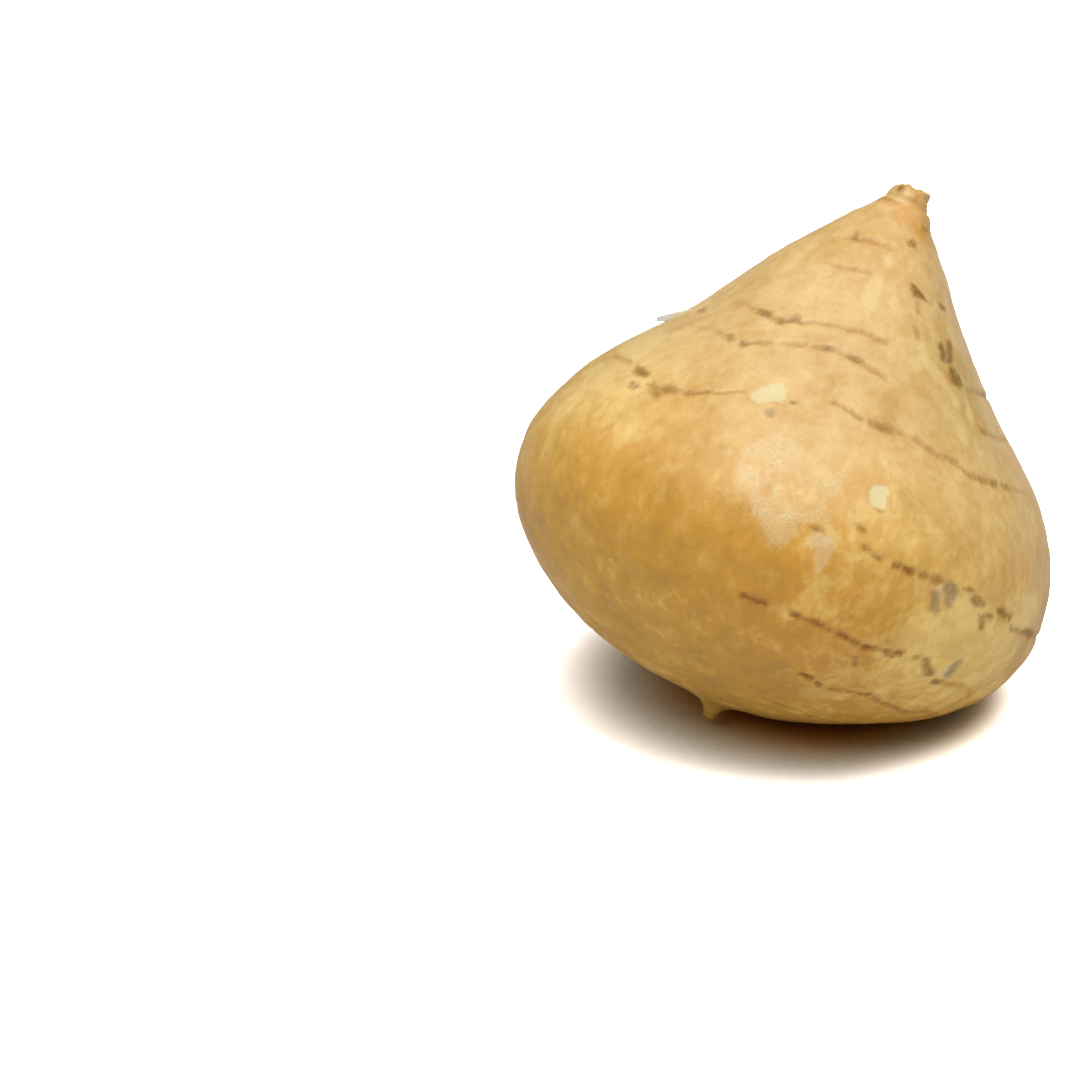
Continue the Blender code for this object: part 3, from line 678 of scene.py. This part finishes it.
def tuberGrid():
    # The whole skin on a grid of rows up and columns round, with what the material reads
    angle = columnAngles(skinGrid["columns"])
    arc = rowArcs(angle)
    turn = np.broadcast_to(angle, arc.shape)
    bare = growthPoints(arc, turn)
    flat = bare.reshape(-1, 3)
    height, radius = (np.interp(arc, arcAlong, values) for values in outline.T)
    offset, dark, thick, crease = nearestRing(arc, angle)
    trim, lift, narrow = stubShape(turn, height)
    marks = {name: markField(outlines, flat).reshape(arc.shape) for name, outlines in skinMarks.items()}
    push = crease + trim + skinRelief(bare, height) + swellPush(turn, height, radius, tuberShape["knobs"])
    for name, (amount, slope) in tuberShape["markHeights"].items():
        push += amount * eased(marks[name] / slope + 0.5)
    skin = growthPoints(arc, turn, push)
    skin[..., 0] -= narrow * (skin[..., 0] - tuberShape["stubShift"])
    skin[..., 1] -= narrow * skin[..., 1]
    skin[..., 2] += lift
    faint = 1 - skinGrid["crownFade"] * eased(fade("crownLines", height))
    data = {"ringOffset": offset / mm, "ringDark": dark * faint, "ringThick": thick, "rise": height / mm}
    data.update(marks)
    data.update({name: zoneField(zones, flat).reshape(arc.shape) for name, zones in skinZones.items()})
    return settle(skin), data


def closedGrid(name, skin, ends, data):
    # Quads between the rows, joined round, and a fan to one point at each end
    rows, columns = skin.shape[:2]
    points = np.vstack([skin.reshape(-1, 3), ends])
    index = np.arange(rows * columns).reshape(rows, columns)
    after = np.roll(index, -1, axis=1)
    quads = np.stack([index[:-1], after[:-1], after[1:], index[1:]], axis=-1).reshape(-1, 4)
    foot = np.stack([np.full(columns, rows * columns), after[0], index[0]], axis=-1)
    head = np.stack([index[-1], after[-1], np.full(columns, rows * columns + 1)], axis=-1)
    mesh = bpy.data.meshes.new(name)
    mesh.from_pydata(points.tolist(), [], quads.tolist() + foot.tolist() + head.tolist())
    mesh.validate()
    mesh.shade_smooth()
    for key, values in data.items():
        layer = mesh.attributes.new(key, "FLOAT", "POINT")
        endValues = [values[0].mean(), values[-1].mean()]
        layer.data.foreach_set("value", np.concatenate([values.ravel(), endValues]).astype(np.float32))
    piece = bpy.data.objects.new(name, mesh)
    bpy.context.scene.collection.objects.link(piece)
    return piece


def makeTuber():
    # The skin's grid, closed at the taproot's tip and in the middle of the cut
    skin, data = tuberGrid()
    return closedGrid("tuberSkin", skin, settle(growthPoints(arcAlong[[0, -1]], np.zeros(2))), data)


tuber = makeTuber()
print("tuber skin:", len(tuber.data.polygons), "faces")

# A papery flake of the skin that has lifted, in mm and degrees
flakeShape = {
    "path": [  # angle, height, out of the skin
        (-68, 78.6, -0.5), (-70.5, 77.2, 0.1), (-73.5, 75.2, 0.7), (-75.6, 73.6, 1.4)],
    "halfWidth": 0.95,
    "halfThickness": 0.20,
    "tip": 0.7,  # how much of these its tip keeps
    "turn": -40,  # about its length
    "uneven": (0.12, 0.0022, 31, 8),  # share of its width, wavelength in metres, seed, waves
    "steps": (10, 18),  # between the points of the path, and round it
    "endCap": 0.1,
}


def makeFlake(shape):
    # An ellipse swept along a curve off the skin: centre + side * width * cos a + over * thickness * sin a
    spots = [skinNormal(angle, height) for angle, height, _ in shape["path"]]
    places = [spot[0] + spot[1] * path[2] * mm for spot, path in zip(spots, shape["path"])]
    lengthSteps, roundSteps = shape["steps"]
    line = smoothThrough(places, steps=lengthSteps)
    t = np.linspace(0, 1, len(line))
    along = np.gradient(line, axis=0)
    along /= np.linalg.norm(along, axis=1)[:, None]
    turn = np.radians(shape["turn"])
    _, normal, spin, _ = spots[0]
    side = spin * np.cos(turn) + normal * np.sin(turn)
    side = side - along * (along @ side)[:, None]
    side /= np.linalg.norm(side, axis=1)[:, None]
    uneven, *waves = shape["uneven"]
    taper = (1 - (1 - shape["tip"]) * t) * (1 + uneven * ripple(line, *waves)) * mm
    a = np.linspace(0, 2 * np.pi, roundSteps, endpoint=False)
    grid = line[:, None, :]
    for reach, shares, way in ((shape["halfWidth"], np.cos(a), side),
                               (shape["halfThickness"], np.sin(a), np.cross(along, side))):
        grid = grid + (reach * taper)[:, None, None] * shares[:, None] * way[:, None, :]
    cap = shape["endCap"] * mm
    ends = line[[0, -1]] + along[[0, -1]] * np.array([[-cap], [cap]])
    return closedGrid("flake", settle(grid), settle(ends), {"along": np.repeat(t[:, None], len(a), axis=1)})


flake = makeFlake(flakeShape)
print("flake:", len(flake.data.polygons), "faces")


def addNode(tree, kind, inputs=None, **settings):
    # Adds a shader node, sets it up, and links the inputs that are sockets
    item = tree.nodes.new("ShaderNode" + kind)
    for name, value in settings.items():
        setattr(item, name, value)
    for name, value in (inputs or {}).items():
        if isinstance(value, bpy.types.NodeSocket):
            tree.links.new(value, item.inputs[name])
        else:
            item.inputs[name].default_value = value
    return item


def calc(operation, a, b=0.0, clamp=False):
    # One sum on a and b, in the node tree of the one that is a socket
    tree = (a if isinstance(a, bpy.types.NodeSocket) else b).id_data
    return addNode(tree, "Math", {0: a, 1: b}, operation=operation, use_clamp=clamp).outputs[0]


def plus(a, b):
    # a + b
    return calc("ADD", a, b)


def minus(a, b):
    # a - b
    return calc("SUBTRACT", a, b)


def times(a, b, clamp=False):
    # a * b, held between 0 and 1 where clamped
    return calc("MULTIPLY", a, b, clamp)


def ramp(value, low, high, start=0.0, end=1.0):
    # The start below low, the end above high, eased between
    inputs = {"Value": value, "From Min": low, "From Max": high, "To Min": start, "To Max": end}
    return addNode(value.id_data, "MapRange", inputs, interpolation_type="SMOOTHSTEP").outputs[0]


def blendColour(share, a, b, mode="MIX"):
    # a and b mixed, or a times b, by the share
    return addNode(share.id_data, "Mix", {0: share, 6: a, 7: b}, data_type="RGBA", blend_type=mode).outputs[2]


def noise(place, size, detail=2.0, roughness=0.5):
    # Noise whose main bumps are this many mm apart
    inputs = {"Vector": place, "Scale": 1.0 / size, "Detail": detail, "Roughness": roughness}
    return addNode(place.id_data, "TexNoise", inputs).outputs[0]


def warped(place, scale, detail, reach):
    # place + reach * coloured noise
    tree = place.id_data
    warp = addNode(tree, "TexNoise", {"Vector": place, "Scale": scale, "Detail": detail}).outputs["Color"]
    push = addNode(tree, "VectorMath", {0: warp, "Scale": reach}, operation="SCALE").outputs[0]
    return addNode(tree, "VectorMath", {0: place, 1: push}, operation="ADD").outputs[0]


def paint(red, green, blue):
    # A screen colour, 0 to 255, as the linear colour that the shader takes
    c = np.array([red, green, blue]) / 255
    linear = np.where(c <= 0.04045, c / 12.92, ((c + 0.055) / 1.055) ** 2.4)
    return (*[float(v) for v in linear], 1.0)


def openGroup(name, inputs):
    # An empty node group with its inputs: a vector where the value is None, else a number
    tree = bpy.data.node_groups.new(name, "ShaderNodeTree")
    for label, value in inputs.items():
        kind = "NodeSocketVector" if value is None else "NodeSocketFloat"
        socket = tree.interface.new_socket(name=label, in_out="INPUT", socket_type=kind)
        if value is not None:
            socket.default_value = value
    return tree, tree.nodes.new("NodeGroupInput").outputs


def closeGroup(tree, results):
    # Gives the group an output for each result
    for label in results:
        tree.interface.new_socket(name=label, in_out="OUTPUT", socket_type="NodeSocketFloat")
    out = tree.nodes.new("NodeGroupOutput")
    for label, value in results.items():
        tree.links.new(value, out.inputs[label])
    return tree


def mottleGroup():
    # Tone = given tone + noises at 22, 5.5 and 1.7 mm + angular plates; above 0 is pale, below 0 deep
    tree, given = openGroup("skinMottle", {
        "Place": None, "Tone": 0.0, "Broad": 1.6, "Medium": 2.2, "Fine": 1.1, "Plates": 0.35})
    place = addNode(tree, "Mapping", {"Vector": given["Place"], "Scale": (1.0, 1.0, 0.72)}).outputs[0]
    tone = given["Tone"]
    for name, *bumps in (("Broad", 22.0, 2.0, 0.5), ("Medium", 5.5, 3.0, 0.55), ("Fine", 1.7, 1.0, 0.5)):
        grain = noise(place, *bumps)
        tone = plus(tone, times(minus(grain, 0.5), given[name]))
    plate = addNode(tree, "TexVoronoi", {"Vector": warped(place, 0.35, 3.0, 6.0), "Scale": 0.22})
    shade = addNode(tree, "SeparateColor", {"Color": plate.outputs["Color"]}).outputs[0]
    tone = plus(tone, times(minus(shade, 0.5), given["Plates"]))
    return closeGroup(tree, {
        "Pale": times(tone, 1.0, True), "Deep": times(tone, -1.0, True), "Grain": grain,
        "Flecks": ramp(noise(place, 4.2, 3.0, 0.6), 0.52, 0.68),
        "Specks": ramp(noise(given["Place"], 1.6, 1.0), 0.66, 0.78)})


def scarGroup():
    # A soft line where |offset + noise| is under its half width; noise thickens, thins and beads it
    tree, given = openGroup("scarLine", {
        "Place": None, "Offset": 0.0, "Darkness": 1.0, "Thickness": 1.0, "HalfWidth": 1.1, "Raggedness": 1.0})
    place = given["Place"]
    rag = minus(noise(place, 3.2), 0.5)
    fray = minus(noise(place, 0.8, 1.0), 0.5)
    bend = times(plus(rag, times(fray, 0.6)), given["Raggedness"])
    away = calc("ABSOLUTE", plus(given["Offset"], bend))
    thick = ramp(noise(place, 2.4, 2.0, 0.55), 0.30, 0.66)
    beads = ramp(noise(place, 1.0, 1.0), 0.34, 0.60)
    width = times(given["HalfWidth"], times(given["Thickness"], plus(0.7, times(thick, 0.4))))
    line = ramp(away, times(width, 0.05), width, 1.0, 0.0)
    strength = plus(0.52, plus(times(thick, 0.24), times(beads, 0.24)))
    return closeGroup(tree, {
        "Line": times(line, times(strength, given["Darkness"]), True),
        "Halo": times(ramp(away, 2.4, 0.2), given["Darkness"])})


def patchGroup():
    # 1 inside a mark, 0 outside, with an edge made ragged by noise
    tree, given = openGroup("raggedPatch", {"Place": None, "Inside": 0.0, "Raggedness": 1.0, "Softness": 0.2})
    rag = minus(noise(given["Place"], 1.1, 4.0, 0.65), 0.5)
    inside = plus(given["Inside"], times(rag, times(given["Raggedness"], 2.0)))
    return closeGroup(tree, {"Mask": ramp(inside, times(given["Softness"], -1.0), given["Softness"])})


def grainGroup():
    # Fine grains of the skin: the distance to the edges of small cells, as a height
    tree, given = openGroup("skinGrains", {"Place": None, "Size": 0.8})
    inputs = {"Vector": warped(given["Place"], 1.2, 2.0, 1.0), "Scale": calc("DIVIDE", 1.0, given["Size"])}
    cells = addNode(tree, "TexVoronoi", inputs, feature="DISTANCE_TO_EDGE")
    return closeGroup(tree, {"Height": ramp(cells.outputs["Distance"], 0.0, 0.35)})


def wrinkleGroup():
    # Wavy broken lines: contours of a noise at three levels, where |noise - level| is small
    tree, given = openGroup("skinWrinkles", {"Place": None, "Scale": 0.30, "Width": 0.03})
    wavy = addNode(tree, "TexNoise", {
        "Vector": given["Place"], "Scale": given["Scale"], "Detail": 1.2, "Distortion": 0.5}).outputs[0]
    near, middle, far = (calc("ABSOLUTE", minus(wavy, level)) for level in (0.38, 0.50, 0.62))
    away = calc("MINIMUM", calc("MINIMUM", near, middle), far)
    line = minus(1.0, ramp(calc("DIVIDE", away, given["Width"]), 0.1, 1.0))
    return closeGroup(tree, {"Lines": times(line, ramp(noise(given["Place"], 3.2), 0.38, 0.60))})


groups = {"mottle": mottleGroup(), "scar": scarGroup(), "patch": patchGroup(), "grains": grainGroup(),
          "wrinkles": wrinkleGroup()}
print("shader groups built")

# The look of the skin: screen colours, 0 to 255
skinLook = {
    "crown": (211, 175, 115), "belly": (205, 153, 40), "pale": (224, 193, 130), "paleLow": (244, 206, 113),
    "deep": (182, 132, 40), "warm": (205, 144, 42), "olive": (191, 162, 86), "fleck": (226, 199, 138),
    "fleckLow": (220, 181, 97), "speck": (166, 118, 52), "pink": (212, 171, 113), "plate": (222, 190, 138),
    "wrinkle": (186, 142, 88), "stain": (200, 134, 50), "peel": (215, 200, 147), "scuff": (142, 115, 80),
    "bleach": (220, 192, 146), "paper": (208, 192, 148), "paperTip": (190, 190, 178),
}
skinLook = {name: paint(*colour) for name, colour in skinLook.items()}

# What scars, scabs, smudges and halos let through of the skin
skinFilters = {"scar": (0.45, 0.31, 0.09, 1.0), "scab": (0.44, 0.34, 0.16, 1.0),
               "smudge": (0.56, 0.46, 0.30, 1.0), "halo": (0.86, 0.74, 0.52, 1.0)}
skinLook.update(skinFilters, roughness=0.42, grainRough=0.16, lineRough=0.3, bump=0.3, bumpDistance=0.0002,
                grainRise=0.35, mottleRise=1.2, wrinkleDepth=0.6, lineDepth=1.6)

# The lifted flake: how grainy, where along it its colour turns, how much deep colour, roughness and bump
paperLook = {"fine": 1.6, "turns": (0.15, 0.9), "deep": 0.2, "roughness": 0.5, "grainRough": 0.2, "bump": 0.4}

# How ragged and how soft, in mm, the edges of each kind of mark are
markEdges = {
    "blush": (3.0, 2.0), "plate": (2.0, 0.5), "pale": (1.6, 0.8), "stain": (1.2, 0.8), "bleach": (0.9, 0.7),
    "scuff": (0.8, 0.8), "peel": (0.9, 0.5), "scab": (0.6, 0.7), "smudge": (1.1, 0.9),
}

# The layers of the skin from below: mask, colour, least share, and how much more another field adds
skinLayers = [
    ("warm", "warm", 1), ("cool", "olive", 1), ("deep", "deep", 0.85, -0.3, "high"),
    ("lit", "pale", 0.55, 0.4, "broad"), ("flecks", "fleck", 0.18, 0.4, "flecked"), ("specks", "speck", 0.22),
    ("blush", "pink", 0.25), ("stain", "stain", 0.38), ("pale", "fleck", 0.5), ("plate", "plate", 0.35),
    ("blush", "peel", 0, 0.4, "veins"), ("blush", "wrinkle", 0, 0.32, "wrinkles"), ("halo", "halo", 0.35),
    ("line", "scar", 1), ("bleach", "bleach", 0.42, 0.4, "veins"), ("scuff", "scuff", 0.578, 0.255, "worn"),
    ("peel", "peel", 0.85), ("smudge", "smudge", 0.8), ("scab", "scab", 0.68, 0.3, "worn"),
]


def skinPlace(tree):
    # Object coordinates turned into the growth frame, in mm
    coordinates = tree.nodes.new("ShaderNodeTexCoord").outputs["Object"]
    turn = (np.radians(tuberShape["leanBack"]), -np.radians(tuberShape["leanRight"]), 0.0)
    inputs = {"Vector": coordinates, "Rotation": turn, "Scale": (1 / mm, 1 / mm, 1 / mm)}
    return addNode(tree, "Mapping", inputs).outputs[0]


def readLayer(tree, name):
    # One of the values that the skin's grid carries
    return addNode(tree, "Attribute", attribute_name=name).outputs["Fac"]


def useGroup(tree, name, inputs):
    # The outputs of one more use of a shader group
    return addNode(tree, "Group", inputs, node_tree=groups[name]).outputs


def newMaterial(name):
    # A material with its tree and its Principled shader
    material = bpy.data.materials.new(name)
    material.use_nodes = True
    return material, material.node_tree, material.node_tree.nodes.get("Principled BSDF")


def finishShader(tree, shader, colour, rough, height, strength):
    # Links colour, roughness and a bump of the height to the shader
    inputs = {"Height": height, "Strength": strength, "Distance": skinLook["bumpDistance"]}
    normal = addNode(tree, "Bump", inputs).outputs["Normal"]
    for name, value in (("Base Color", colour), ("Roughness", rough), ("Normal", normal)):
        tree.links.new(value, shader.inputs[name])


def skinMaterial(look):
    # Crown to belly colour, then each layer laid over it by mask * (least share + more * field)
    material, tree, shader = newMaterial("jicamaSkin")
    place = skinPlace(tree)
    warm, flecked, rise, tone, offset, dark, thick = (readLayer(tree, name) for name in (
        "warm", "flecked", "rise", "tone", "ringOffset", "ringDark", "ringThick"))
    mottle = useGroup(tree, "mottle", {"Place": place, "Tone": tone})
    scar = useGroup(tree, "scar", {"Place": place, "Offset": offset, "Darkness": dark, "Thickness": thick})
    grains = useGroup(tree, "grains", {"Place": place})["Height"]
    field = {
        "warm": times(warm, 0.8, True), "cool": times(warm, -0.8, True), "deep": mottle["Deep"],
        "lit": mottle["Pale"], "flecks": mottle["Flecks"], "specks": mottle["Specks"], "flecked": flecked,
        "halo": scar["Halo"], "line": scar["Line"], "high": ramp(rise, 15.0, 80.0),
        "broad": ramp(noise(place, 4.5, 3.0), 0.3, 0.62), "worn": ramp(noise(place, 1.6), 0.35, 0.6),
        "wrinkles": useGroup(tree, "wrinkles", {"Place": place})["Lines"],
        "veins": useGroup(tree, "wrinkles", {"Place": place, "Scale": 0.42, "Width": 0.09})["Lines"],
    }
    for name, (ragged, soft) in markEdges.items():
        inputs = {"Place": place, "Inside": readLayer(tree, name), "Raggedness": ragged, "Softness": soft}
        field[name] = useGroup(tree, "patch", inputs)["Mask"]
    colour = blendColour(field["high"], look["belly"], look["crown"])
    for name, shade, share, *grown in skinLayers:
        if grown:
            share = plus(share, times(field[grown[1]], grown[0]))
        laid = look[shade]
        if shade + "Low" in look:
            laid = blendColour(field["high"], look[shade + "Low"], laid)
        mode = "MULTIPLY" if shade in skinFilters else "MIX"
        colour = blendColour(times(field[name], share, True), colour, laid, mode)
    rough = plus(look["roughness"], times(mottle["Grain"], look["grainRough"]))
    rough = plus(rough, times(scar["Line"], look["lineRough"]))
    relief = times(grains, look["grainRise"])
    relief = minus(relief, times(field["plate"], times(field["wrinkles"], look["wrinkleDepth"])))
    relief = plus(relief, times(mottle["Grain"], look["mottleRise"]))
    relief = minus(relief, plus(times(scar["Line"], look["lineDepth"]), field["peel"]))
    finishShader(tree, shader, colour, rough, relief, look["bump"])
    return material


def paperMaterial(look, paper):
    # Dry skin, mottled: from one colour where the flake grows to the other at its tip
    material, tree, shader = newMaterial("paperySkin")
    mottle = useGroup(tree, "mottle", {"Place": skinPlace(tree), "Fine": paper["fine"]})
    colour = blendColour(ramp(readLayer(tree, "along"), *paper["turns"]), look["paper"], look["paperTip"])
    colour = blendColour(times(mottle["Deep"], paper["deep"]), colour, look["deep"])
    rough = plus(paper["roughness"], times(mottle["Grain"], paper["grainRough"]))
    finishShader(tree, shader, colour, rough, mottle["Grain"], paper["bump"])
    return material


tuber.data.materials.append(skinMaterial(skinLook))
flake.data.materials.append(paperMaterial(skinLook, paperLook))
print("skin material built")

# Camera, floor and lights: metres and degrees
studio = {
    "cameraPlace": (0.0261, -0.8283, 0.3826),
    "cameraTurn": (67.48, 1.89, 4.73),  # looks down at the tuber from its left, a little rolled
    "lens": 135.3,
    "nearest": 0.01,
    "worldLight": 0.14,
    "floorHalf": 4.0,
    "floorThrown": 0.66,
    "contactReach": 0.09,
    "contactSamples": 16,
    "paintedShadowLean": (10.0, 60.0, 0.27),  # mm to the right from and to which the painted shadow weakens, and how much
    # the painted shadow's darkest colour, where the tuber is closest above the floor
    "paintedShadowColour": (0.48, 0.125, 0.004, 1.0),
    "paintedShadowSteps": [  # the painted shadow: how clear the floor is from and to, and its colour from there on
        (0.05, 0.17, (0.72, 0.42, 0.13, 1.0)), (0.15, 0.29, (0.62, 0.62, 0.56, 1.0)),
        (0.26, 0.75, (3.2, 3.2, 3.2, 1.0))],
    "lamps": [  # name, height, side (0 from the front, -90 from the left), width in degrees, strength
        ("top", 75, 72, 50, 1.7), ("key", 58, -40, 50, 1.0), ("front", 60, 5, 40, 1.15)],
}


def makeCamera(setup):
    # A long lens at the photograph's place
    camera = bpy.data.objects.new("camera", bpy.data.cameras.new("camera"))
    camera.data.lens = setup["lens"]
    camera.data.clip_start = setup["nearest"]
    camera.location = setup["cameraPlace"]
    camera.rotation_euler = np.radians(setup["cameraTurn"])
    bpy.context.scene.collection.objects.link(camera)
    bpy.context.scene.camera = camera


def cameraSwitch(tree, kind, lighting, seen):
    # Mixes two shaders: the first for light, the second for what the camera sees
    direct = tree.nodes.new("ShaderNodeLightPath").outputs["Is Camera Ray"]
    both = addNode(tree, "MixShader", {0: direct, 1: lighting, 2: seen})
    tree.links.new(both.outputs[0], tree.nodes[kind + " Output"].inputs["Surface"])


def makeFloor(setup):
    # A flat square; what the camera sees of it is brighter than what it throws back on the tuber, and it
    # carries a
    # painted shadow: dark, brown, then grey, where ambient occlusion finds the tuber close above, less so to
    # the right
    half, thrown = setup["floorHalf"], setup["floorThrown"]
    mesh = bpy.data.meshes.new("floor")
    corners = [(-half, -half, 0), (half, -half, 0), (half, half, 0), (-half, half, 0)]
    mesh.from_pydata(corners, [], [(0, 1, 2, 3)])
    floor = bpy.data.objects.new("floor", mesh)
    material, tree, shader = newMaterial("paleFloorPaintedShadow")
    tree.nodes.remove(shader)
    near = addNode(tree, "AmbientOcclusion", {"Distance": setup["contactReach"]},
                   samples=setup["contactSamples"])
    across = addNode(tree, "SeparateXYZ", {0: skinPlace(tree)}).outputs["X"]
    closest, furthest, weaker = setup["paintedShadowLean"]
    # painted shadow: how open each spot of the floor is, from ambient occlusion plus a lean to the right
    clear = plus(near.outputs["AO"], times(ramp(across, closest, furthest), weaker))
    # the painted shadow's colours, laid from the darkest outward
    shade = setup["paintedShadowColour"]
    for closest, furthest, colour in setup["paintedShadowSteps"]:
        shade = blendColour(ramp(clear, closest, furthest), shade, colour)
    bright = addNode(tree, "BsdfDiffuse", {"Color": shade})
    dull = addNode(tree, "BsdfDiffuse", {"Color": (thrown, thrown, thrown, 1.0)})
    cameraSwitch(tree, "Material", dull.outputs[0], bright.outputs[0])
    mesh.materials.append(material)
    bpy.context.scene.collection.objects.link(floor)


def makeLights(setup):
    # Wide distant lamps; each shines from (cos h sin s, -cos h cos s, sin h)
    scene = bpy.context.scene
    for name, height, side, width, strength in setup["lamps"]:
        h, s = np.radians([height, side])
        lamp = bpy.data.lights.new(name, "SUN")
        lamp.angle = np.radians(width)
        lamp.energy = strength
        light = bpy.data.objects.new(name, lamp)
        way = Vector((np.cos(h) * np.sin(s), -np.cos(h) * np.cos(s), np.sin(h)))
        light.rotation_euler = way.to_track_quat("Z", "Y").to_euler()
        scene.collection.objects.link(light)
    world = bpy.data.worlds.new("whiteRoom")
    world.use_nodes = True
    tree = world.node_tree
    background = tree.nodes["Background"]
    background.inputs["Color"].default_value = (1.0, 1.0, 1.0, 1.0)
    background.inputs["Strength"].default_value = setup["worldLight"]
    backdrop = addNode(tree, "Background", {"Color": (1.0, 1.0, 1.0, 1.0)})
    cameraSwitch(tree, "World", background.outputs[0], backdrop.outputs[0])
    scene.world = world
    scene.view_settings.view_transform = "Standard"


makeCamera(studio)
makeFloor(studio)
makeLights(studio)
print("studio ready")

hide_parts("tuber")
for piece in (tuber, flake):
    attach(piece, "root")
